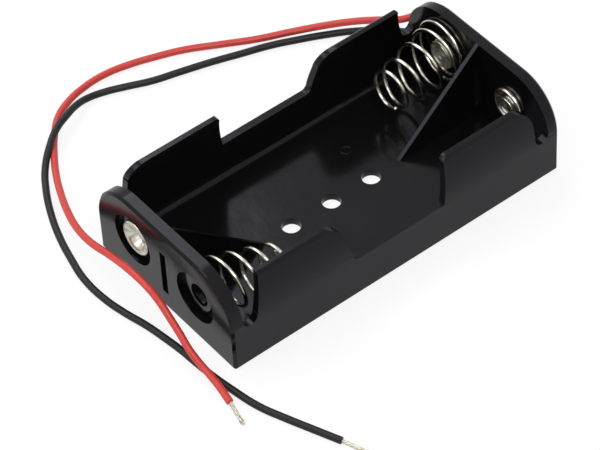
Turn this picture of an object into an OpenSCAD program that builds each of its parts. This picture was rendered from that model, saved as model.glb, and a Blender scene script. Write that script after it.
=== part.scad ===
// Open holder for two round cells side by side: one moulded tray, two coil
// springs, riveted contacts and two soldered leads. Sizes are in millimetres.
// X runs along the cells, Y across them, Z up. The origin is the middle of
// the underside of the tray.

/* [Tray] */
// Length over the two end walls
body_l = 59.5; // [56:0.5:70]
// Width over the two side walls
body_w = 31.3; // [30.5:0.1:36]
// Height of the end walls
body_h = 15; // [14:0.5:18]
// Thickness of an end wall
end_t = 2; // [1.8:0.1:3]
// Thickness of the floor
floor_t = 1.2; // [0.8:0.1:2]
// Thickness of a side wall below its arms
side_t = 1.2; // [0.8:0.1:1.6]
// Radius of the end walls' upper corners
corner_r = 7.6; // [3:0.2:8]
// Bevel round the outer edges
bevel = 0.4; // [0.1:0.1:0.8]
// Radius of the fillet between floor and side wall
floor_fillet = 1; // [0.4:0.1:1.5]

/* [Side arms] */
// Height of the side walls where they are cut low
sill_z = 7.2; // [5:0.1:9]
// Height of the arms that hold the cells
arm_z = 14.5; // [12.5:0.1:16]
// How far an arm leans in over its height
arm_lean = 1.6; // [0.5:0.1:2.2]
// Thickness of an arm at its top
arm_t = 1; // [0.9:0.1:1.5]
// Radius of an arm's outer edge at its top
arm_edge_r = 0.7; // [0.2:0.1:0.8]
// Half the length of the cut between two arms
cut_half = 8.2; // [5:0.2:10]
// How far the ends of an arm slant
arm_slant = 0.9; // [0:0.1:2]
// Radius of the large corner of an arm
arm_r = 3.3; // [1:0.1:4]
// Radius of the small corner of an arm
tip_r = 1.2; // [0.4:0.1:2]
// Radius of the fillet at the foot of an arm
foot_r = 1; // [0.4:0.1:1.6]
// Width of the notch between an arm and the end wall
notch_w = 2.5; // [1.6:0.1:3.5]
// Height of the bottom of that notch
notch_z = 7.3; // [7:0.1:9]

/* [Dividers, slots and holes] */
// Thickness of the triangular divider
divider_t = 0.6; // [0.5:0.1:1.2]
// Length of the divider along the floor
divider_run = 15.2; // [8:0.2:18]
// Width of the slot in the middle of an end wall
slot_w = 1.3; // [1.1:0.1:2]
// Height of the slot's lower end
slot_low = 3.2; // [2:0.1:3.4]
// Height of the slot's upper end
slot_high = 11.1; // [9:0.1:13]
// Depth of the slot below the outer face
slot_d = 1.4; // [0.8:0.1:1.6]
// How far the divider is cut back at its root, for the link wire
slot_root = 0.9; // [0.8:0.1:2]
// Distance between the three holes in the floor
hole_pitch = 7.4; // [5:0.1:9]
// Radius of a hole in the floor
hole_r = 1.45; // [1:0.05:2]

/* [Contacts] */
// Distance from the middle plane to a contact's axis
contact_y = 7.2; // [6.9:0.1:8]
// Height of the contacts' axes
contact_z = 8.1; // [7.5:0.1:9]
// Radius of the round recess in the outer face
recess_r = 4.1; // [3.6:0.1:4.5]
// Depth of that recess
recess_d = 0.8; // [0.4:0.1:1]
// Radius of the boss that the C-shaped groove leaves
boss_r = 2.6; // [2.4:0.1:3]
// Depth of the C-shaped groove below the outer face
groove_d = 1.4; // [1:0.1:1.6]
// First and last angle of the solid part of the ring, from outwards Y upwards
groove_from = 72; // [40:1:100]
// Angle where the solid part ends
groove_to = 188; // [160:1:220]
// Radius of the hole through the wall
shank_hole_r = 1.85; // [1.5:0.05:2]
// Gap between a shank and its hole
shank_gap = 0.05; // [0.02:0.01:0.1]
// Radius of a contact's head
head_r = 2.9; // [2.6:0.1:3.4]
// Radius of the negative rivet's smaller head
small_head_r = 2.3; // [2.1:0.1:2.9]
// Thickness of a rivet's head and of its turned-over rim
head_t = 0.35; // [0.25:0.05:0.5]
// How far the positive head's rim stands up round its dish
dish_h = 0.3; // [0:0.1:0.5]
// Radius of the domed button that touches the cell
button_r = 1.4; // [0.8:0.1:1.6]
// Height of the button above the dish
button_h = 0.6; // [0.3:0.1:0.9]
// Bore radius of the hollow eyelet
eyelet_bore_r = 1.4; // [1:0.05:1.5]
// Radius of the eyelet's turned-over rim
eyelet_rim_r = 2.85; // [2.4:0.05:3.2]
// Height of that rolled rim above the boss
eyelet_roll_h = 0.5; // [0.3:0.05:0.7]

/* [Springs] */
// Diameter of the spring wire
wire_d = 0.6; // [0.4:0.05:0.7]
// Gap between the wire and what it lies against
wire_gap = 0.04; // [0.02:0.01:0.1]
// Radius of the coil's first turn, at the wall
coil_base_r = 4.85; // [4.4:0.05:5.4]
// Radius of the coil's last turn, at the cell
coil_end_r = 2.9; // [2.5:0.05:4]
// Free length of the coil from the wall
coil_free = 11.4; // [9:0.2:14]
// Turns of the coil, from the wall to the end of the wire
coil_turns = 4.7; // [3.7:0.5:5.7]
// How far the negative coil sits above the rivet's axis
negative_up = 0.3; // [0:0.1:0.6]
// How far the negative coil sits outwards of the rivet's axis
negative_out = 0.5; // [0:0.1:0.8]
// How far a coil's free end sinks for each millimetre of its length
coil_sink = 0.1; // [0:0.01:0.15]
// How far a coil's free end leans inwards for each millimetre
coil_lean = 0.05; // [0:0.01:0.1]

/* [Leads] */
// Diameter of a lead over its insulation
lead_d = 1.1; // [0.8:0.05:1.2]
// Diameter of the tinned strands
strand_d = 0.6; // [0.4:0.05:0.7]
// Radius of a solder joint
solder_r = 1.7; // [1.2:0.1:2.2]
// Height of a solder joint
solder_h = 1.05; // [0.8:0.05:1.3]

/* [Hidden] */
half_l = body_l / 2;
half_w = body_w / 2;
wall_x = half_l - end_t;
shank_r = shank_hole_r - shank_gap;
boss_z = recess_d - end_t;
wire_seat = wire_d + 2 * wire_gap;
loop_r = shank_r + wire_gap + wire_d / 2;
wire_u = wire_d / 2 + wire_gap;
tube_sides = 8;
turn_rings = 20;
arc_steps = 8;
head_round = 0.12;
fine = 0.01;
over = 1;

// Where each lead runs, from its solder joint to the end of its insulation
red_route = [
    [30.4, -6.6, 8.3], [30.8, -4, 9.4], [31, 0, 11], [31, 4, 11.6], [31, 8, 11.4],
    [31, 12, 10.2], [30.7, 15.6, 8.2], [28.5, 18.4, 6.4], [27, 22.3, 4.4], [24.8, 25.6, 3],
    [22, 28.4, 2], [18, 31.4, 1.2], [13, 34.2, 0.7], [8, 36.8, 0.6], [3, 39.3, 0.6],
    [-1, 41, 0.6], [-5, 42.6, 0.6], [-9, 43.2, 0.6], [-13, 43, 0.6], [-16.5, 42.1, 0.6],
    [-19.6, 40.4, 0.6], [-22.2, 37.7, 0.6], [-24.6, 34.3, 0.6], [-26.8, 30.8, 0.6],
    [-28.4, 27.5, 0.6], [-29.8, 24, 0.6], [-30.8, 20, 0.8], [-31.2, 15.8, 1.6],
    [-31, 11.6, 2.3], [-30.6, 7.4, 2.8], [-30.6, 2.8, 2.8], [-31, -0.4, 2.6],
    [-31.6, -3.6, 2.5], [-32.3, -6.8, 2.4], [-32.9, -9.8, 2.2], [-33.3, -12.6, 2],
    [-33.5, -15.2, 1.8], [-33.8, -17.7, 1.5], [-34.2, -20.2, 1]
];
black_route = [
    [30.4, 7.8, 8], [30.8, 10, 6.8], [31, 13, 4.9], [30.7, 16.5, 3.3], [29.6, 19.5, 2.3],
    [27.8, 22.7, 1.4], [25, 25.8, 0.8], [21.6, 28.2, 0.6], [18, 30.4, 0.6],
    [14, 32.3, 0.6], [9.5, 33.7, 0.6], [4.6, 34.8, 0.6], [-0.2, 36.2, 0.6],
    [-4.4, 37.3, 0.6], [-8, 38.7, 0.6], [-11, 39.9, 0.6], [-13.8, 40.6, 0.8],
    [-16.4, 40.2, 1.4], [-19, 39, 1.9], [-21.8, 37.4, 1.9], [-24.8, 35.2, 1.5],
    [-27.3, 32.9, 0.8], [-29.5, 29.7, 0.6], [-31.8, 25.3, 0.6], [-33.5, 20.7, 0.6],
    [-34.9, 16, 0.6], [-35.7, 11.5, 0.6], [-35.3, 6.6, 0.6], [-34.6, 2.9, 0.6],
    [-34, -1.2, 0.6], [-33.7, -4.6, 0.6], [-33.4, -8, 0.6], [-33.3, -11.4, 0.6],
    [-33, -15, 0.6], [-32.6, -18.6, 0.6], [-31.4, -23.1, 0.6], [-29.8, -27, 0.6],
    [-28.1, -30.9, 0.6], [-26.6, -35.2, 0.6]
];
red_tip_end = [-35, -24.3, 0.4];
black_tip_end = [-25.1, -39.4, 0.4];

// Points of an arc about a centre, from one angle to another
function arc(c, r, a0, a1) =
    [for (i = [0:arc_steps]) let (a = a0 + (a1 - a0) * i / arc_steps) c + r * [cos(a), sin(a)]];

// Radius of an arc that leans a wall in by one amount over a height
function lean_radius(lean, h) = (h * h + lean * lean) / (2 * lean);

// Points of the leaning arc, which starts upright at a foot point
function lean_arc(foot, lean, h) =
    let (r = lean_radius(lean, h), a = asin(h / r)) arc(foot - [r, 0], r, 0, a);

// The same arc, ended early by a round that meets the flat top
function rounded_lean(foot, lean, h, edge) =
    let (r = lean_radius(lean, h), a = asin((h - edge) / (r - edge)), c = foot - [r, 0])
    concat(arc(c, r, 0, a), without_first(arc(c + (r - edge) * [cos(a), sin(a)], edge, a, 90)));

function reversed(p) = [for (i = [len(p) - 1:-1:0]) p[i]];
function without_first(p) = [for (i = [1:len(p) - 1]) p[i]];

// Section of a side wall with an arm, across the tray: [outwards, up]
function arm_section() = concat(
    [[half_w - side_t, 0], [half_w - bevel, 0], [half_w, bevel]],
    rounded_lean([half_w, sill_z], arm_lean, arm_z - sill_z, arm_edge_r),
    reversed(lean_arc([half_w - side_t, sill_z], arm_lean + arm_t - side_t, arm_z - sill_z))
);

// Outline of a side wall seen from outside, with its two arms: [along, up]
function side_outline() =
    let (near = -wall_x + notch_w, far = wall_x - notch_w, nr = notch_w / 2 - fine)
    concat(
        [[-wall_x - fine, -over], [wall_x + fine, -over]],
        arc([wall_x - nr, notch_z + nr], nr, 0, -180),
        [[far, notch_z + nr], [far - 2 * arm_slant, arm_z + over]],
        [[cut_half + arm_slant + arm_r, arm_z + over]],
        arc([cut_half + arm_slant + arm_r, arm_z - arm_r], arm_r, 90, 180),
        arc([cut_half - foot_r, sill_z + foot_r], foot_r, 0, -90),
        [[-cut_half, sill_z]],
        arc([-cut_half - arm_slant - tip_r, arm_z - tip_r], tip_r, 0, 90),
        [[-cut_half - arm_slant - tip_r, arm_z + over], [near + arm_r, arm_z + over]],
        arc([near + arm_r, arm_z - arm_r], arm_r, 90, 180),
        arc([-wall_x + nr, notch_z + nr], nr, 0, -180)
    );

// Turns a flat shape in [Y, Z] into a slab along X
module along_x(length) {
    rotate([90, 0, 90]) linear_extrude(length) children();
}

// Turns a flat shape in [X, Z] into a slab along Y, towards +Y
module along_y(length) {
    translate([0, length, 0]) rotate([90, 0, 0]) linear_extrude(length) children();
}

// Places a piece on the axis of a contact: its own Z points into the bay
module at_contact(end, side) {
    translate([end * wall_x, side * contact_y, contact_z]) rotate([0, -90 * end, 0]) children();
}

module side_wall() {
    intersection() {
        translate([-wall_x, 0, 0]) along_x(2 * wall_x) polygon(arm_section());
        translate([0, half_w - side_t - arm_lean - arm_t, 0])
            along_y(side_t + arm_lean + arm_t + over) polygon(side_outline());
    }
    // Fillet between the side wall and the floor
    fillet_c = [half_w - side_t - floor_fillet, floor_t + floor_fillet];
    translate([-wall_x, 0, 0]) along_x(2 * wall_x)
        polygon(concat([[half_w - side_t + fine, floor_t - fine], [fillet_c[0], floor_t - fine]],
                       arc(fillet_c, floor_fillet, -90, 0), [[half_w - side_t + fine, fillet_c[1]]]));
}

// The C-shaped groove, round the boss and open to the outer face
module c_groove() {
    solid_mid = (groove_from + groove_to) / 2;
    reach = 2 * recess_r;
    difference() {
        translate([0, 0, -end_t - over]) cylinder(r = recess_r, h = groove_d + over, $fn = 64);
        translate([0, 0, -end_t - 2 * over]) cylinder(r = boss_r, h = end_t + 2 * over, $fn = 48);
        translate([0, 0, -end_t - 2 * over]) linear_extrude(end_t + 2 * over)
            polygon([[0, 0], for (a = [groove_from, solid_mid, groove_to]) reach * [sin(a), cos(a)]]);
    }
}

// Recess, groove and hole of one contact, cut in from the outer face
module contact_cuts() {
    translate([0, 0, -end_t - over]) cylinder(r = recess_r, h = recess_d + over, $fn = 64);
    c_groove();
    translate([0, 0, -end_t - over]) cylinder(r = shank_hole_r, h = end_t + 2 * over, $fn = 48);
}

// The slab of the +X end wall: flat stretches with bevelled rims, and two round corners
module end_slab() {
    flat_w = body_w - 2 * corner_r;
    flat_h = body_h - corner_r;
    translate([0, -flat_w / 2, 0]) along_y(flat_w)
        polygon([[wall_x, 0], [half_l, 0], [half_l, body_h - bevel],
                 [half_l - bevel, body_h], [wall_x, body_h]]);
    for (s = [-1, 1]) {
        mirror([0, s < 0 ? 1 : 0, 0]) linear_extrude(flat_h)
            polygon([[wall_x, flat_w / 2 - fine], [half_l, flat_w / 2 - fine],
                     [half_l, half_w - bevel], [half_l - bevel, half_w], [wall_x, half_w]]);
        translate([wall_x, s * flat_w / 2, flat_h]) rotate([0, 90, 0]) {
            cylinder(r = corner_r, h = end_t - bevel, $fn = 96);
            translate([0, 0, end_t - bevel])
                cylinder(r1 = corner_r, r2 = corner_r - bevel, h = bevel, $fn = 96);
        }
    }
}

// The wall at the +X end, with its contacts' recesses and the slot between them
module end_wall() {
    difference() {
        intersection() {
            end_slab();
            translate([wall_x - over, -half_w, 0]) cube([end_t + 2 * over, body_w, body_h]);
        }
        // Bevels along the lower outer edges
        translate([0, -half_w - over, 0]) along_y(body_w + 2 * over)
            polygon([[half_l - bevel, -fine], [half_l + fine, -fine], [half_l + fine, bevel]]);
        for (s = [0, 1]) mirror([0, s, 0]) translate([wall_x - over, 0, 0]) along_x(end_t + 2 * over)
            polygon([[half_w - bevel, -fine], [half_w + fine, -fine], [half_w + fine, bevel]]);
        for (side = [-1, 1]) at_contact(1, side) contact_cuts();
        translate([half_l - slot_d, -slot_w / 2, slot_low])
            cube([slot_d + over, slot_w, slot_high - slot_low]);
    }
}

// The triangle that parts the two bays at the +X end
module divider() {
    difference() {
        translate([0, -divider_t / 2, 0]) along_y(divider_t)
            polygon([[wall_x + fine, floor_t - fine], [wall_x + fine, body_h],
                     [wall_x, body_h], [wall_x - divider_run, floor_t - fine]]);
        translate([wall_x - slot_root, -slot_w / 2, slot_low])
            cube([slot_root + over, slot_w, slot_high - slot_low]);
    }
}

// One moulding: the same wall, arms and divider at both ends, turned half round
module holder_body() color("#17171a") {
    difference() {
        union() {
            translate([-wall_x - fine, -half_w + side_t - fine, 0])
                cube([2 * wall_x + 2 * fine, body_w - 2 * side_t + 2 * fine, floor_t]);
            for (turn = [0, 180]) rotate([0, 0, turn]) {
                side_wall();
                end_wall();
                divider();
            }
        }
        for (i = [-1:1]) translate([i * hole_pitch, 0, -over])
            cylinder(r = hole_r, h = floor_t + 2 * over, $fn = 48);
    }
}

// Section of a contact's head, from the shank outwards, over the rim and up to the button
function head_section(seat, edge_r, rim_h) =
    let (dish_z = seat + head_t - head_round, rim_x = edge_r - head_round)
    concat(
        [[shank_r, seat], [rim_x, seat]],
        [for (a = [0:45:180]) [rim_x + head_round * cos(a), dish_z + rim_h + head_round * sin(a)]],
        [[rim_x - head_round - rim_h / 2 - fine, dish_z]],
        [for (a = [0:20:80]) [button_r * cos(a), dish_z + button_h * sin(a)]],
        [[0, dish_z + button_h]]
    );

// Rivet on a contact's axis: rim on the boss, shank, and head in the bay
module rivet(seat, edge_r, rim_h) {
    rim_z = boss_z - head_t;
    rotate_extrude($fn = 48) polygon(concat(
        [[0, rim_z], [boss_r - head_round, rim_z], [boss_r, rim_z + head_round], [boss_r, boss_z],
         [shank_r, boss_z]],
        head_section(seat, edge_r, rim_h)));
}

module positive_rivet() color("#d8d6c8") at_contact(1, -1) rivet(0, head_r, dish_h);

module negative_rivet() color("#d8d6c8") at_contact(1, 1) rivet(wire_seat, small_head_r, 0);

// Hollow eyelet: open to the outside with a rolled rim, closed by its button in the bay
module link_eyelet() color("#d8d6c8") at_contact(-1, 1) {
    roll_mid = (eyelet_bore_r + eyelet_rim_r) / 2;
    roll_half = (eyelet_rim_r - eyelet_bore_r) / 2;
    rotate_extrude($fn = 48) polygon(concat(
        [[0, wire_seat], [eyelet_bore_r, wire_seat]],
        [for (a = [180:-20:0]) [roll_mid + roll_half * cos(a), boss_z - eyelet_roll_h * sin(a)]],
        [[shank_r, boss_z]],
        head_section(wire_seat, head_r, 0)));
}

// The coil's pitch widens from the wall to the middle and closes again at the free end
function ease(t) = t * t * (3 - 2 * t);
coil_rise = coil_free - wire_d / 2 - wire_u;

// The cone of turns about its own axis, in [up, outwards, into the bay]
function coil(start, hand, up, out) =
    [for (i = [0:coil_turns * turn_rings])
        let (t = i / (coil_turns * turn_rings), a = start + hand * 360 * coil_turns * t,
             r = coil_base_r + (coil_end_r - coil_base_r) * t, rise = coil_rise * ease(t))
        [up - coil_sink * rise + r * sin(a), out - coil_lean * rise + r * cos(a), wire_u + rise]];

// A flat loop of wire round a shank, which ends at one angle
function shank_loop(end_angle, hand, turns) =
    [for (i = [0:turns * turn_rings]) let (a = end_angle - hand * 360 * (turns - i / turn_rings))
        [loop_r * sin(a), loop_r * cos(a), wire_u]];

// A flat spiral from the shank loop out to the coil's first turn
spiral_turns = 0.75;
function out_spiral(end_angle, hand, up, out) =
    [for (i = [1:spiral_turns * turn_rings - 1])
        let (s = i / (spiral_turns * turn_rings), a = end_angle - hand * 360 * spiral_turns * (1 - s),
             r = loop_r + (coil_base_r - loop_r) * ease(s))
        [up * ease(s) + r * sin(a), out * ease(s) + r * cos(a), wire_u]];

function unit(v) = v / norm(v);
function tangent(p, i) = unit(p[min(i + 1, len(p) - 1)] - p[max(i - 1, 0)]);
function tube_ring(p, i, r, ref) =
    let (t = tangent(p, i), a = unit(ref - (ref * t) * t), b = cross(t, a))
    [for (k = [0:tube_sides - 1]) let (w = 360 * k / tube_sides) p[i] + r * (cos(w) * a + sin(w) * b)];

// A round tube swept along a list of points
module tube(p, d, ref) {
    last = (len(p) - 1) * tube_sides;
    side_faces = [
        for (i = [0:len(p) - 2], k = [0:tube_sides - 1])
            let (a = i * tube_sides + k, b = i * tube_sides + (k + 1) % tube_sides)
            each [[a, a + tube_sides, b + tube_sides], [a, b + tube_sides, b]]];
    caps = [[for (k = [0:tube_sides - 1]) k], [for (k = [tube_sides - 1:-1:0]) last + k]];
    polyhedron([for (i = [0:len(p) - 1]) each tube_ring(p, i, d / 2, ref)], concat(side_faces, caps));
}

// Angle at which the negative coil starts, from outwards Y upwards, and its turning
negative_start = 121;
coil_hand = -1;

module negative_spring() color("#c9c8bf") at_contact(1, 1) {
    loop_end = negative_start - coil_hand * 360 * spiral_turns;
    tube(concat(shank_loop(loop_end, coil_hand, 1),
                out_spiral(negative_start, coil_hand, negative_up, negative_out),
                coil(negative_start, coil_hand, negative_up, negative_out)), wire_d, [0, 0, 1]);
}

// The wire that links the two bays leaves the coil and meets the eyelet's loop on
// the tangent that crosses between them, through the slot in the divider's root
link_angle = 90 - asin((coil_base_r + loop_r) / (2 * contact_y));
link_steps = 6;
function shifted(p, v) = [for (q = p) q + v];

// The link coil turns the same way as the other one, seen from its own free end
module link_spring() color("#c9c8bf") at_contact(-1, -1) {
    loop = shifted(shank_loop(link_angle + 180, coil_hand, 1), [0, 2 * contact_y, 0]);
    turns = [for (q = coil(180 - link_angle, coil_hand, 0, 0)) [q[0], -q[1], q[2]]];
    from = loop[len(loop) - 1];
    straight = [for (i = [1:link_steps - 1]) from + (turns[0] - from) * i / link_steps];
    mirror([1, 0, 0]) tube(concat(loop, straight, turns), wire_d, [0, 0, 1]);
}

module solder_joint(side) at_contact(1, side) {
    foot = boss_z - head_t;
    rotate_extrude($fn = 32) polygon([
        [0, foot - solder_h], for (a = [20:20:80]) [solder_r * sin(a), foot - solder_h * cos(a)],
        [solder_r, foot], [0, foot]]);
}

module red_solder_joint() color("#c4c4c0") solder_joint(-1);

module black_solder_joint() color("#c4c4c0") solder_joint(1);

module red_lead() color("#d0423e") tube(red_route, lead_d, [0, 0, 1]);

module black_lead() color("#242526") tube(black_route, lead_d, [0, 0, 1]);

module lead_tip(route, tip) {
    tube([route[len(route) - 1], tip], strand_d, [0, 0, 1]);
}

module red_lead_tip() color("#cfccc4") lead_tip(red_route, red_tip_end);

module black_lead_tip() color("#cfccc4") lead_tip(black_route, black_tip_end);

holder_body();
negative_spring();
negative_rivet();
positive_rivet();
link_spring();
link_eyelet();
red_solder_joint();
black_solder_joint();
red_lead();
black_lead();
red_lead_tip();
black_lead_tip();
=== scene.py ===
"""Open holder for two round cells: looks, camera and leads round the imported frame, in metres."""
import math

import bmesh
import bpy
import numpy as np
from mathutils import Matrix, Vector, noise


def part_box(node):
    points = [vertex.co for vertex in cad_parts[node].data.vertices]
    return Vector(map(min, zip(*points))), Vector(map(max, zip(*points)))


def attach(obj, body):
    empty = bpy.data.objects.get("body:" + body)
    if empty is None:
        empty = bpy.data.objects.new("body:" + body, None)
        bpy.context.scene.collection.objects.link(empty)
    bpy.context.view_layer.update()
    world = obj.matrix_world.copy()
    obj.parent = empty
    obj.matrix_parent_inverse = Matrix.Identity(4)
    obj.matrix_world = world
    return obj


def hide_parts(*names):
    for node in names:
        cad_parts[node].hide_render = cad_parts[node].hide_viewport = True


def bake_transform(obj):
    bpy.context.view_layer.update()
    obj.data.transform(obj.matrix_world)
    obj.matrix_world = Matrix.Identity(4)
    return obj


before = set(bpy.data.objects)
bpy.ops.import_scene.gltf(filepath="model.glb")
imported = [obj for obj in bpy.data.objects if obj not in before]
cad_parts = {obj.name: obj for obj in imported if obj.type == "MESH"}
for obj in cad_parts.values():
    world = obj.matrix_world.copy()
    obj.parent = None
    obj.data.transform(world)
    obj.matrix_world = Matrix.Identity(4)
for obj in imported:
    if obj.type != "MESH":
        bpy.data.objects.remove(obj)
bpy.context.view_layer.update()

MM = 0.001

# ---------------------------------------------------------------- camera

AIM = Vector((-0.0057, 0.0002, 0))
CAMERA_DISTANCE = 0.4911
CAMERA_AZIMUTH = math.radians(-125.95)
CAMERA_ELEVATION = math.radians(46.85)
CAMERA_ROLL = math.radians(-3.62)
CAMERA_LENS = 205.0
SENSOR_WIDTH = 36.0


def make_camera():
    """A long lens that looks down on the tray from its near left corner."""
    outward = Vector((math.cos(CAMERA_AZIMUTH) * math.cos(CAMERA_ELEVATION),
                      math.sin(CAMERA_AZIMUTH) * math.cos(CAMERA_ELEVATION),
                      math.sin(CAMERA_ELEVATION)))
    level_right = (-outward).cross(Vector((0, 0, 1))).normalized()
    level_up = level_right.cross(-outward)
    right = math.cos(CAMERA_ROLL) * level_right + math.sin(CAMERA_ROLL) * level_up
    up = math.cos(CAMERA_ROLL) * level_up - math.sin(CAMERA_ROLL) * level_right
    camera = bpy.data.cameras.new("camera")
    camera.lens = CAMERA_LENS
    camera.sensor_width = SENSOR_WIDTH
    camera.clip_start = 0.01
    camera.clip_end = 10
    obj = bpy.data.objects.new("camera", camera)
    turn = Matrix((right, up, outward)).transposed().to_4x4()
    obj.matrix_world = Matrix.Translation(AIM + outward * CAMERA_DISTANCE) @ turn
    bpy.context.scene.collection.objects.link(obj)
    bpy.context.scene.camera = obj


make_camera()

# ---------------------------------------------------------------- materials


def linear(hex_colour):
    """An sRGB hex colour as the linear values that a shader takes."""
    channels = [int(hex_colour[i:i + 2], 16) / 255 for i in (1, 3, 5)]
    return (*[c / 12.92 if c <= 0.04045 else ((c + 0.055) / 1.055) ** 2.4 for c in channels], 1.0)


def per_mm(size):
    """Scale of a pattern whose features are size millimetres across."""
    return 1 / (size * MM)


def add(tree, kind, links=None, **settings):
    """A node with its properties or input values set, and its inputs linked from other sockets."""
    node = tree.nodes.new(kind)
    for name, value in settings.items():
        if hasattr(node, name):
            setattr(node, name, value)
        else:
            node.inputs[name.replace("_", " ")].default_value = value
    for name, socket in (links or {}).items():
        tree.links.new(socket, node.inputs[name])
    return node


def new_material(name, **values):
    """A material with one principled shader, with its values set on the shader's own sockets."""
    material = bpy.data.materials.new(name)
    material.use_nodes = True
    tree = material.node_tree
    shader = tree.nodes["Principled BSDF"]
    for key, value in values.items():
        shader.inputs[key.replace("_", " ")].default_value = value
    return material, tree, shader


def black_moulded_polystyrene():
    """Injection-moulded polystyrene: near black, glossy, with flow waves that bend reflections."""
    material, tree, shader = new_material("black_moulded_polystyrene", IOR=1.5,
                                          Specular_IOR_Level=0.235, Specular_Tint=linear("#f0eeff"))
    place = add(tree, "ShaderNodeTexCoord").outputs["Object"]
    flow = add(tree, "ShaderNodeTexNoise", {"Vector": place}, Scale=per_mm(9), Detail=3.0)
    colour = add(tree, "ShaderNodeValToRGB", {"Fac": flow.outputs["Fac"]})
    colour.color_ramp.elements[0].color = linear("#0a0a0a")
    colour.color_ramp.elements[1].color = linear("#0e0e0e")
    gloss = add(tree, "ShaderNodeMapRange", {"Value": flow.outputs["Fac"]},
                To_Min=0.1, To_Max=0.18)
    grain = add(tree, "ShaderNodeTexNoise", {"Vector": place}, Scale=per_mm(0.5), Detail=4.0)
    fine = add(tree, "ShaderNodeBump", {"Height": grain.outputs["Fac"]},
               Strength=0.05, Distance=0.1 * MM)
    waves = add(tree, "ShaderNodeBump",
                {"Height": flow.outputs["Fac"], "Normal": fine.outputs["Normal"]},
                Strength=0.15, Distance=0.4 * MM)
    tree.links.new(colour.outputs["Color"], shader.inputs["Base Color"])
    tree.links.new(gloss.outputs["Result"], shader.inputs["Roughness"])
    tree.links.new(waves.outputs["Normal"], shader.inputs["Normal"])
    return material


def metal(name, dark, light, patch_mm, rough_from, rough_to, dent):
    """A plated or tinned metal: patches of two tints, uneven gloss and small dents."""
    material, tree, shader = new_material(name, Metallic=1.0)
    place = add(tree, "ShaderNodeTexCoord").outputs["Object"]
    patches = add(tree, "ShaderNodeTexNoise", {"Vector": place}, Scale=per_mm(patch_mm), Detail=5.0)
    colour = add(tree, "ShaderNodeValToRGB", {"Fac": patches.outputs["Fac"]})
    colour.color_ramp.elements[0].position = 0.3
    colour.color_ramp.elements[0].color = linear(dark)
    colour.color_ramp.elements[1].position = 0.7
    colour.color_ramp.elements[1].color = linear(light)
    gloss = add(tree, "ShaderNodeMapRange", {"Value": patches.outputs["Fac"]},
                To_Min=rough_from, To_Max=rough_to)
    bump = add(tree, "ShaderNodeBump", {"Height": patches.outputs["Fac"]},
               Strength=dent, Distance=0.1 * MM)
    tree.links.new(colour.outputs["Color"], shader.inputs["Base Color"])
    tree.links.new(gloss.outputs["Result"], shader.inputs["Roughness"])
    tree.links.new(bump.outputs["Normal"], shader.inputs["Normal"])
    return material


def insulation(name, dark, light, rough, specular):
    """Extruded PVC insulation: even colour, a soft sheen and faint drawing marks."""
    material, tree, shader = new_material(name, IOR=1.5, Roughness=rough,
                                          Specular_IOR_Level=specular)
    place = add(tree, "ShaderNodeTexCoord").outputs["Object"]
    marks = add(tree, "ShaderNodeTexNoise", {"Vector": place}, Scale=per_mm(1.6), Detail=3.0)
    colour = add(tree, "ShaderNodeValToRGB", {"Fac": marks.outputs["Fac"]})
    colour.color_ramp.elements[0].color = linear(dark)
    colour.color_ramp.elements[1].color = linear(light)
    bump = add(tree, "ShaderNodeBump", {"Height": marks.outputs["Fac"]},
               Strength=0.1, Distance=0.1 * MM)
    tree.links.new(colour.outputs["Color"], shader.inputs["Base Color"])
    tree.links.new(bump.outputs["Normal"], shader.inputs["Normal"])
    return material


MOULDING = black_moulded_polystyrene()
# Nickel-plated spring steel: bright drawn wire, warm white with sharp dark reflections
SPRING_WIRE = metal("nickel_plated_spring_wire", "#b9b5a8", "#e6e3d8", 1.2, 0.12, 0.24, 0.1)
# Nickel-plated brass rivets: pressed smooth, a little duller than the wire
RIVET = metal("nickel_plated_rivet", "#bcb8aa", "#e6e2d6", 2.5, 0.2, 0.3, 0.0)
# Lead-free solder: grey, soft sheen, frozen ripples
SOLDER = metal("cooled_solder", "#9b9c9a", "#c9cac6", 0.5, 0.25, 0.45, 0.5)
# Tinned copper strands: pale, slightly yellow where the tin is thin
TINNED = metal("tinned_copper_strands", "#b9ae98", "#e0dccf", 0.6, 0.28, 0.45, 0.2)
RED_PVC = insulation("red_pvc_insulation", "#b62f2a", "#c8403a", 0.38, 0.4)
BLACK_PVC = insulation("black_pvc_insulation", "#111112", "#1a1a1b", 0.45, 0.3)

# ---------------------------------------------------------------- leads

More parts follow.
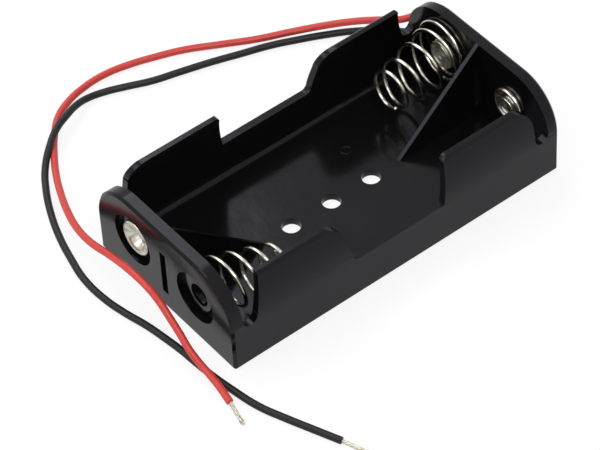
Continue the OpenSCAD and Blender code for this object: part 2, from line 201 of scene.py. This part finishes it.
LEAD_DIAMETER = 1.1 * MM
STRAND_BUNDLE = 0.6 * MM
STRANDS = 7
STRAND_SIDES = 8
STRAND_STEPS = 24
STRAND_TWIST = 2.4 * math.pi
STRAND_FRAY = 0.12 * MM
STRAND_SHORTER = 0.02
RED_ROUTE = [
    (0.0304, -0.0066, 0.0083), (0.0308, -0.004, 0.0094), (0.031, 0, 0.011),
    (0.031, 0.004, 0.0116), (0.031, 0.008, 0.0114), (0.031, 0.012, 0.0102),
    (0.0307, 0.0156, 0.0082), (0.0284, 0.0183, 0.0064), (0.027, 0.0222, 0.0044),
    (0.0248, 0.0256, 0.003), (0.022, 0.0284, 0.002), (0.0179, 0.0313, 0.0012),
    (0.0129, 0.0341, 0.0007), (0.0081, 0.0369, 0.0006), (0.0032, 0.0396, 0.0006),
    (-0.0009, 0.0412, 0.0006), (-0.005, 0.0425, 0.0006), (-0.009, 0.0432, 0.0006),
    (-0.013, 0.043, 0.0006), (-0.0165, 0.0421, 0.0006), (-0.0196, 0.0404, 0.0006),
    (-0.0222, 0.0377, 0.0006), (-0.0248, 0.0341, 0.0009), (-0.0273, 0.03, 0.0016),
    (-0.0294, 0.0258, 0.0026), (-0.0313, 0.0214, 0.0038), (-0.0328, 0.0166, 0.0049),
    (-0.0334, 0.0123, 0.0059), (-0.0333, 0.0079, 0.0069), (-0.0336, 0.0029, 0.0083),
    (-0.0336, -0.0015, 0.0083), (-0.0336, -0.0041, 0.0075), (-0.0336, -0.0063, 0.0061),
    (-0.0336, -0.0084, 0.0046), (-0.0338, -0.0107, 0.0034), (-0.0337, -0.0128, 0.0023),
    (-0.0337, -0.0152, 0.0018), (-0.0339, -0.0177, 0.0015), (-0.0342, -0.0202, 0.001),
]
BLACK_ROUTE = [
    (0.0304, 0.0078, 0.008), (0.0308, 0.01, 0.0068), (0.031, 0.013, 0.0049),
    (0.0307, 0.0165, 0.0033), (0.0296, 0.0195, 0.0023), (0.0278, 0.0227, 0.0014),
    (0.025, 0.0257, 0.0008), (0.0215, 0.028, 0.0006), (0.0177, 0.0299, 0.0006),
    (0.0137, 0.0317, 0.0006), (0.0093, 0.0332, 0.0006), (0.0046, 0.0348, 0.0006),
    (-0.0002, 0.0362, 0.0006), (-0.0044, 0.0374, 0.0006), (-0.0079, 0.0389, 0.0006),
    (-0.0109, 0.0401, 0.0006), (-0.0138, 0.0406, 0.0008), (-0.0164, 0.04, 0.0014),
    (-0.019, 0.0388, 0.0019), (-0.0218, 0.0375, 0.0019), (-0.0248, 0.0353, 0.0015),
    (-0.0273, 0.0329, 0.0008), (-0.0295, 0.0297, 0.0006), (-0.0318, 0.0253, 0.0006),
    (-0.0336, 0.0207, 0.0006), (-0.0349, 0.016, 0.0006), (-0.0358, 0.0115, 0.0006),
    (-0.0358, 0.0064, 0.0006), (-0.0352, 0.0026, 0.0006), (-0.0343, -0.0013, 0.0006),
    (-0.0338, -0.0046, 0.0006), (-0.0334, -0.008, 0.0006), (-0.0332, -0.0114, 0.0006),
    (-0.0329, -0.015, 0.0006), (-0.0324, -0.0185, 0.0006), (-0.0315, -0.0231, 0.0006),
    (-0.03, -0.0272, 0.0006), (-0.0284, -0.0311, 0.0006), (-0.0267, -0.0352, 0.0006),
]
RED_TIP_END = (-0.035, -0.0243, 0.0004)
BLACK_TIP_END = (-0.0251, -0.0394, 0.0004)


def finished(obj, material, body="holder"):
    """Links a new piece into the scene, gives it its material and lets it ride on a body."""
    bpy.context.scene.collection.objects.link(obj)
    obj.data.materials.append(material)
    if body:
        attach(obj, body)
    return obj


def make_lead(name, route, material):
    """Insulated lead: one smooth open curve through the route's points."""
    curve = bpy.data.curves.new(name, "CURVE")
    curve.dimensions = "3D"
    curve.bevel_depth = LEAD_DIAMETER / 2
    curve.bevel_resolution = 6
    curve.resolution_u = 8
    curve.use_fill_caps = True
    spline = curve.splines.new("BEZIER")
    spline.bezier_points.add(len(route) - 1)
    for point, place in zip(spline.bezier_points, route):
        point.co = place
        point.handle_left_type = point.handle_right_type = "AUTO"
    return finished(bpy.data.objects.new(name, curve), material)


def tube_mesh(name, points, radius, sides, reference):
    """Round tube along points, and the index of the point that each of its vertices belongs to."""
    points = np.array(points, float)
    along = np.gradient(points, axis=0)
    along /= np.linalg.norm(along, axis=1)[:, None]
    across = np.array(reference, float) - (along @ np.array(reference, float))[:, None] * along
    across /= np.linalg.norm(across, axis=1)[:, None]
    third = np.cross(along, across)
    angles = np.arange(sides) * 2 * math.pi / sides
    rings = (points[:, None] + radius * (np.cos(angles)[None, :, None] * across[:, None]
                                         + np.sin(angles)[None, :, None] * third[:, None]))
    faces = [(i * sides + k, i * sides + (k + 1) % sides, (i + 1) * sides + (k + 1) % sides,
              (i + 1) * sides + k) for i in range(len(points) - 1) for k in range(sides)]
    faces.append(tuple(reversed(range(sides))))
    faces.append(tuple((len(points) - 1) * sides + k for k in range(sides)))
    mesh = bpy.data.meshes.new(name)
    mesh.from_pydata(rings.reshape(-1, 3).tolist(), [], faces)
    mesh.shade_smooth()
    return mesh, np.repeat(np.arange(len(points)), sides)


def make_strands(name, start, end):
    """Bare end of a lead: seven tinned strands twisted together, a little frayed at the tip."""
    start, end = Vector(start), Vector(end)
    axis = (end - start).normalized()
    side = axis.cross(Vector((0, 0, 1))).normalized()
    rise = side.cross(axis)
    strand_r = STRAND_BUNDLE / 6
    joined = bmesh.new()
    for k in range(STRANDS):
        lay = 0 if k == 0 else STRAND_BUNDLE / 2 - strand_r
        spread = noise.random_unit_vector() if k else Vector()
        points = []
        for i in range(STRAND_STEPS + 1):
            t = i / STRAND_STEPS
            angle = k * math.pi / 3 + t * STRAND_TWIST
            offset = (side * math.cos(angle) + rise * math.sin(angle)) * lay
            fray = (side * spread.x + rise * abs(spread.y)) * STRAND_FRAY * t ** 3
            points.append(start.lerp(end, t * (1 - STRAND_SHORTER * k * t)) + offset + fray)
        mesh, _ = tube_mesh(name, points, strand_r, STRAND_SIDES, (0, 0, 1))
        joined.from_mesh(mesh)
        bpy.data.meshes.remove(mesh)
    mesh = bpy.data.meshes.new(name)
    joined.to_mesh(mesh)
    joined.free()
    return finished(bpy.data.objects.new(name, mesh), TINNED)


noise.seed_set(7)
red_lead = make_lead("red_lead_insulation", RED_ROUTE, RED_PVC)
black_lead = make_lead("black_lead_insulation", BLACK_ROUTE, BLACK_PVC)
red_strands = make_strands("red_lead_strands", RED_ROUTE[-1], RED_TIP_END)
black_strands = make_strands("black_lead_strands", BLACK_ROUTE[-1], BLACK_TIP_END)
for piece, node_name, slot_name in (
        (red_lead, "red_lead", "red_insulation"), (black_lead, "black_lead", "black_insulation"),
        (red_strands, "red_lead_tip", "tinned_strands"),
        (black_strands, "black_lead_tip", "tinned_strands")):
    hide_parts(node_name)

# ---------------------------------------------------------------- pieces kept from the frame

WELD = 0.001 * MM
FLAT_ANGLE = math.radians(0.4)
EDGE_ANGLE = math.radians(30)


def dressed(node_name, name, material, bevel, segments=2):
    """A finer copy of a CAD piece: flat faces joined again, edges rounded, curves shaded smooth."""
    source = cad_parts[node_name]
    shape = bmesh.new()
    shape.from_mesh(source.data)
    shape.transform(source.matrix_world)
    bmesh.ops.remove_doubles(shape, verts=shape.verts, dist=WELD)
    bmesh.ops.dissolve_limit(shape, angle_limit=FLAT_ANGLE, verts=shape.verts, edges=shape.edges)
    mesh = bpy.data.meshes.new(name)
    shape.to_mesh(mesh)
    shape.free()
    mesh.shade_smooth()
    obj = finished(bpy.data.objects.new(name, mesh), material)
    edge = obj.modifiers.new("rounded_edges", "BEVEL")
    edge.width = bevel
    edge.segments = segments
    edge.limit_method = "ANGLE"
    edge.angle_limit = EDGE_ANGLE
    edge.miter_outer = "MITER_ARC"
    obj.modifiers.new("even_shading", "WEIGHTED_NORMAL").keep_sharp = False
    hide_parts(node_name)
    return obj


dressed("holder_body", "moulded_tray", MOULDING, 0.16 * MM)
red_solder = dressed("red_solder_joint", "red_solder_dome", SOLDER, 0.2 * MM, 3)
black_solder = dressed("black_solder_joint", "black_solder_dome", SOLDER, 0.2 * MM, 3)

# ---------------------------------------------------------------- rivets

CONTACT_Y = 7.2 * MM
CONTACT_Z = 8.1 * MM
END_WALL = 2 * MM
WALL_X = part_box("holder_body")[1][0] - END_WALL
# Each section runs from the axis outwards and back: radius, then depth into the bay, in mm
TAIL = [(0, -1.55), (2.6, -1.55), (2.6, -1.2), (1.8, -1.2)]
POSITIVE_SECTION = TAIL + [(1.8, 0), (2.9, 0), (2.9, 0.5), (2.7, 0.7), (2.4, 0.68), (2.15, 0.45),
                           (2, 0.23), (1.5, 0.23), (1.45, 0.88), (1.25, 0.86), (0.95, 0.6),
                           (0.5, 0.42), (0, 0.38)]
NEGATIVE_SECTION = TAIL + [(1.8, 0.68), (2.3, 0.68), (2.3, 0.98), (2.1, 1.03), (1.8, 0.75),
                           (1.6, 0.7), (1.45, 0.9), (1.2, 0.84), (0.9, 0.62), (0.5, 0.46),
                           (0, 0.42)]
EYELET_SECTION = [(0, 0.2), (0.7, 0.1), (1.2, -0.3), (1.5, -0.9), (1.85, -1.4), (2.25, -1.7),
                  (2.55, -1.72), (2.85, -1.5), (2.85, -1.2), (1.8, -1.2), (1.8, 0.68), (2.9, 0.68),
                  (2.9, 1.03), (1.6, 0.9), (1.42, 1.0), (1.4, 1.5), (0, 1.52)]
CORNER_ROUND = 0.16
CORNER_STEPS = 4
CORNER_SHARE = 0.45
LATHE_SIDES = 72


def rounded_section(section):
    """The section with each corner between its ends replaced by a small arc of a parabola, which
    takes no more than CORNER_SHARE of a side."""
    points = [Vector(section[0])]
    for before, corner, after in zip(section, section[1:], section[2:]):
        corner = Vector(corner)
        back, on = Vector(before) - corner, Vector(after) - corner
        first = corner + back * min(CORNER_ROUND / back.length, CORNER_SHARE)
        last = corner + on * min(CORNER_ROUND / on.length, CORNER_SHARE)
        for i in range(CORNER_STEPS + 1):
            t = i / CORNER_STEPS
            points.append(first * (1 - t) ** 2 + corner * 2 * t * (1 - t) + last * t ** 2)
    return points + [Vector(section[-1])]


def make_rivet(name, section, node_name, end, side):
    """Pressed rivet: its section turned about the axis of one contact."""
    shape = bmesh.new()
    rings = []
    for radius, depth in rounded_section(section):
        count = LATHE_SIDES if radius > 0 else 1
        angles = [2 * math.pi * k / count for k in range(count)]
        rings.append([shape.verts.new((end * (WALL_X - depth * MM),
                                       side * CONTACT_Y + radius * MM * math.cos(angle),
                                       CONTACT_Z + radius * MM * math.sin(angle)))
                      for angle in angles])
    for ring, following in zip(rings, rings[1:]):
        for k in range(LATHE_SIDES):
            corners = [ring[k % len(ring)], ring[(k + 1) % len(ring)],
                       following[(k + 1) % len(following)], following[k % len(following)]]
            shape.faces.new(dict.fromkeys(corners))
    bmesh.ops.recalc_face_normals(shape, faces=shape.faces)
    mesh = bpy.data.meshes.new(name)
    shape.to_mesh(mesh)
    shape.free()
    mesh.shade_smooth()
    obj = finished(bpy.data.objects.new(name, mesh), RIVET)
    obj.modifiers.new("even_shading", "WEIGHTED_NORMAL").keep_sharp = False
    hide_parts(node_name)


make_rivet("positive_rivet_pressed", POSITIVE_SECTION, "positive_rivet", 1, -1)
make_rivet("negative_rivet_pressed", NEGATIVE_SECTION, "negative_rivet", 1, 1)
make_rivet("link_eyelet_rolled", EYELET_SECTION, "link_eyelet", -1, 1)

# ---------------------------------------------------------------- springs

WIRE = 0.6 * MM
WIRE_GAP = 0.04 * MM
SHANK_R = 1.8 * MM
COIL_BASE_R = 4.85 * MM
# Number of turns, radius of the last turn, free length, how far it leans towards the divider
# and sinks for each mm of its rise, and how even the pitch is: 0 starts and ends flat
NEGATIVE_COIL = dict(turns=4.7, end_r=2.9 * MM, free=11.4 * MM, lean=0.05, sink=0.1, even=0.0)
LINK_COIL = dict(turns=4.8, end_r=2.25 * MM, free=12.6 * MM, lean=-0.18, sink=0.0, even=0.67)
NEGATIVE_UP = 0.3 * MM
NEGATIVE_OUT = 0.5 * MM
NEGATIVE_START = math.radians(121)
SPIRAL_TURNS = 0.75
RUN_STEPS = 20
RINGS_A_TURN = 60
WIRE_SIDES = 14
LOOP_R = SHANK_R + WIRE_GAP + WIRE / 2
WIRE_LIES = WIRE_GAP + WIRE / 2


def ease(t):
    """Goes from 0 to 1 with a flat start and end."""
    return t * t * (3 - 2 * t)


def coil_points(start, up, out, turns, end_r, free, lean, sink, even):
    """Cone of turns as (outwards, up, into the bay), from the wall to the end of the wire."""
    points = []
    steps = round(turns * RINGS_A_TURN)
    for i in range(steps + 1):
        t = i / steps
        angle = start - 2 * math.pi * turns * t
        radius = COIL_BASE_R + (end_r - COIL_BASE_R) * t
        rise = (free - WIRE / 2 - WIRE_LIES) * (even * t + (1 - even) * ease(t))
        points.append((out - lean * rise + radius * math.cos(angle),
                       up - sink * rise + radius * math.sin(angle), WIRE_LIES + rise))
    return points


def loop_points(end_angle):
    """Flat loop of wire round a shank, as (outwards, up, into the bay)."""
    angles = [end_angle + 2 * math.pi * (1 - i / RINGS_A_TURN) for i in range(RINGS_A_TURN + 1)]
    return [(LOOP_R * math.cos(a), LOOP_R * math.sin(a), WIRE_LIES) for a in angles]


def spiral_points(end_angle, up, out):
    """Flat spiral from the shank loop out to the first turn."""
    points = []
    steps = round(SPIRAL_TURNS * RINGS_A_TURN)
    for i in range(1, steps):
        s = i / steps
        angle = end_angle + 2 * math.pi * SPIRAL_TURNS * (1 - s)
        radius = LOOP_R + (COIL_BASE_R - LOOP_R) * ease(s)
        points.append((out * ease(s) + radius * math.cos(angle),
                       up * ease(s) + radius * math.sin(angle), WIRE_LIES))
    return points


def make_spring(name, points, node_name):
    """Spring wire: a round tube along the path of the wire."""
    mesh, owner = tube_mesh(name, points, WIRE / 2, WIRE_SIDES, (1, 0, 0))
    spring = finished(bpy.data.objects.new(name, mesh), SPRING_WIRE, body=None)
    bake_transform(spring)
    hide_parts(node_name)


def negative_path():
    """Loop round the rivet, spiral and cone, on the contact at +X and +Y."""
    local = (loop_points(NEGATIVE_START + 2 * math.pi * SPIRAL_TURNS)
             + spiral_points(NEGATIVE_START, NEGATIVE_UP, NEGATIVE_OUT)
             + coil_points(NEGATIVE_START, NEGATIVE_UP, NEGATIVE_OUT, **NEGATIVE_COIL))
    return [(WALL_X - depth, CONTACT_Y + out, CONTACT_Z + up) for out, up, depth in local]


def link_path():
    """Loop round the eyelet at +Y, straight run through the divider's root, cone at -Y."""
    touch = math.pi / 2 - math.asin((COIL_BASE_R + LOOP_R) / (2 * CONTACT_Y))
    loop = [(-WALL_X + depth, CONTACT_Y + out, CONTACT_Z + up)
            for out, up, depth in loop_points(touch + math.pi)]
    cone = [(-WALL_X + depth, -CONTACT_Y - out, CONTACT_Z + up)
            for out, up, depth in coil_points(math.pi - touch, 0, 0, **LINK_COIL)]
    first, last = Vector(loop[-1]), Vector(cone[0])
    run = [tuple(first.lerp(last, i / RUN_STEPS)) for i in range(1, RUN_STEPS)]
    return loop + run + cone


make_spring("negative_coil_wire", negative_path(), "negative_spring")
make_spring("link_coil_wire", link_path(), "link_spring")

# ---------------------------------------------------------------- marks of the mould

FLOOR_TOP = 1.2 * MM
MARK_POINTS = 49
MARK_SIDES = 8


def make_mark(name, x, y, radius, first, last, height):
    """Faint raised arc on the floor: the round of an ejector pin, or a scratch of the mould."""
    points = [(x + radius * math.cos(a), y + radius * math.sin(a), FLOOR_TOP)
              for a in np.linspace(math.radians(first), math.radians(last), MARK_POINTS)]
    mesh, _ = tube_mesh(name, points, height, MARK_SIDES, (0, 0, 1))
    mark = finished(bpy.data.objects.new(name, mesh), MOULDING)


make_mark("ejector_mark", 8 * MM, 6.55 * MM, 0.75 * MM, 0, 360, 0.13 * MM)
make_mark("mould_scratch", 4.9 * MM, -3.4 * MM, 5 * MM, -9, 9, 0.06 * MM)

# ---------------------------------------------------------------- stage, light and world

GLOSS_WHITE = 0.8
WORLD_LIGHT = 0.6
PAPER_WHITE_SHARE = 0.8
PAPER_HALF = 3.0


def background_rays(tree):
    """How far a ray takes the white background, and how bright it finds it: full white for the
    camera and for transmission, a softer white for gloss."""
    rays = add(tree, "ShaderNodeLightPath").outputs
    seen = add(tree, "ShaderNodeMath", {0: rays["Is Camera Ray"], 1: rays["Is Glossy Ray"]},
               operation="MAXIMUM")
    seen = add(tree, "ShaderNodeMath", {0: seen.outputs[0], 1: rays["Is Transmission Ray"]},
               operation="MAXIMUM")
    white = add(tree, "ShaderNodeMapRange", {"Value": rays["Is Glossy Ray"]},
                To_Min=1.0, To_Max=GLOSS_WHITE)
    return seen.outputs[0], white.outputs["Result"]


def make_floor():
    """Pale sheet under the part and far past it."""
    mesh = bpy.data.meshes.new("floor")
    corners = [(-PAPER_HALF, -PAPER_HALF, 0), (PAPER_HALF, -PAPER_HALF, 0),
               (PAPER_HALF, PAPER_HALF, 0), (-PAPER_HALF, PAPER_HALF, 0)]
    mesh.from_pydata(corners, [], [(0, 1, 2, 3)])
    floor = bpy.data.objects.new("floor", mesh)
    material, tree, shader = new_material("white_paper", Roughness=0.9)
    place = add(tree, "ShaderNodeTexCoord").outputs["Object"]
    fibre = add(tree, "ShaderNodeTexNoise", {"Vector": place}, Scale=per_mm(4))
    colour = add(tree, "ShaderNodeValToRGB", {"Fac": fibre.outputs["Fac"]})
    colour.color_ramp.elements[0].color = linear("#f4f4f4")
    colour.color_ramp.elements[1].color = linear("#fafafa")
    tree.links.new(colour.outputs["Color"], shader.inputs["Base Color"])
    seen, strength = background_rays(tree)
    white = add(tree, "ShaderNodeEmission", {"Strength": strength}, Color=(1, 1, 1, 1))
    part = add(tree, "ShaderNodeMath", {0: seen}, operation="MULTIPLY")
    part.inputs[1].default_value = PAPER_WHITE_SHARE
    mix = add(tree, "ShaderNodeMixShader", {"Fac": part.outputs[0], 1: shader.outputs["BSDF"],
                                            2: white.outputs["Emission"]})
    tree.links.new(mix.outputs["Shader"], tree.nodes["Material Output"].inputs["Surface"])
    mesh.materials.append(material)
    bpy.context.scene.collection.objects.link(floor)


def make_lamp(name, place, size, power):
    """Soft square lamp that looks at the middle of the part."""
    lamp = bpy.data.lights.new(name, "AREA")
    lamp.size = size
    lamp.energy = power
    obj = bpy.data.objects.new(name, lamp)
    obj.location = place
    obj.rotation_euler = (-Vector(place)).to_track_quat("-Z", "Y").to_euler()
    bpy.context.scene.collection.objects.link(obj)


def make_world():
    """White surroundings for what the camera and the gloss see, a plain grey for the light."""
    world = bpy.data.worlds.new("studio")
    bpy.context.scene.world = world
    world.use_nodes = True
    tree = world.node_tree
    grey = tree.nodes["Background"]
    grey.inputs["Color"].default_value = (1, 1, 1, 1)
    grey.inputs["Strength"].default_value = WORLD_LIGHT
    seen, strength = background_rays(tree)
    white = add(tree, "ShaderNodeBackground", {"Strength": strength}, Color=(1, 1, 1, 1))
    mix = add(tree, "ShaderNodeMixShader", {"Fac": seen, 1: grey.outputs["Background"],
                                            2: white.outputs["Background"]})
    tree.links.new(mix.outputs["Shader"], tree.nodes["World Output"].inputs["Surface"])


make_floor()
make_world()
make_lamp("key_lamp", (-0.2, -0.35, 0.65), 0.35, 2.4)
make_lamp("fill_lamp", (-0.5, 0.3, 0.6), 0.5, 1.6)
make_lamp("sky_lamp", (0.07, 0.53, 0.64), 0.5, 1.9)
bpy.context.scene.view_settings.view_transform = "Standard"
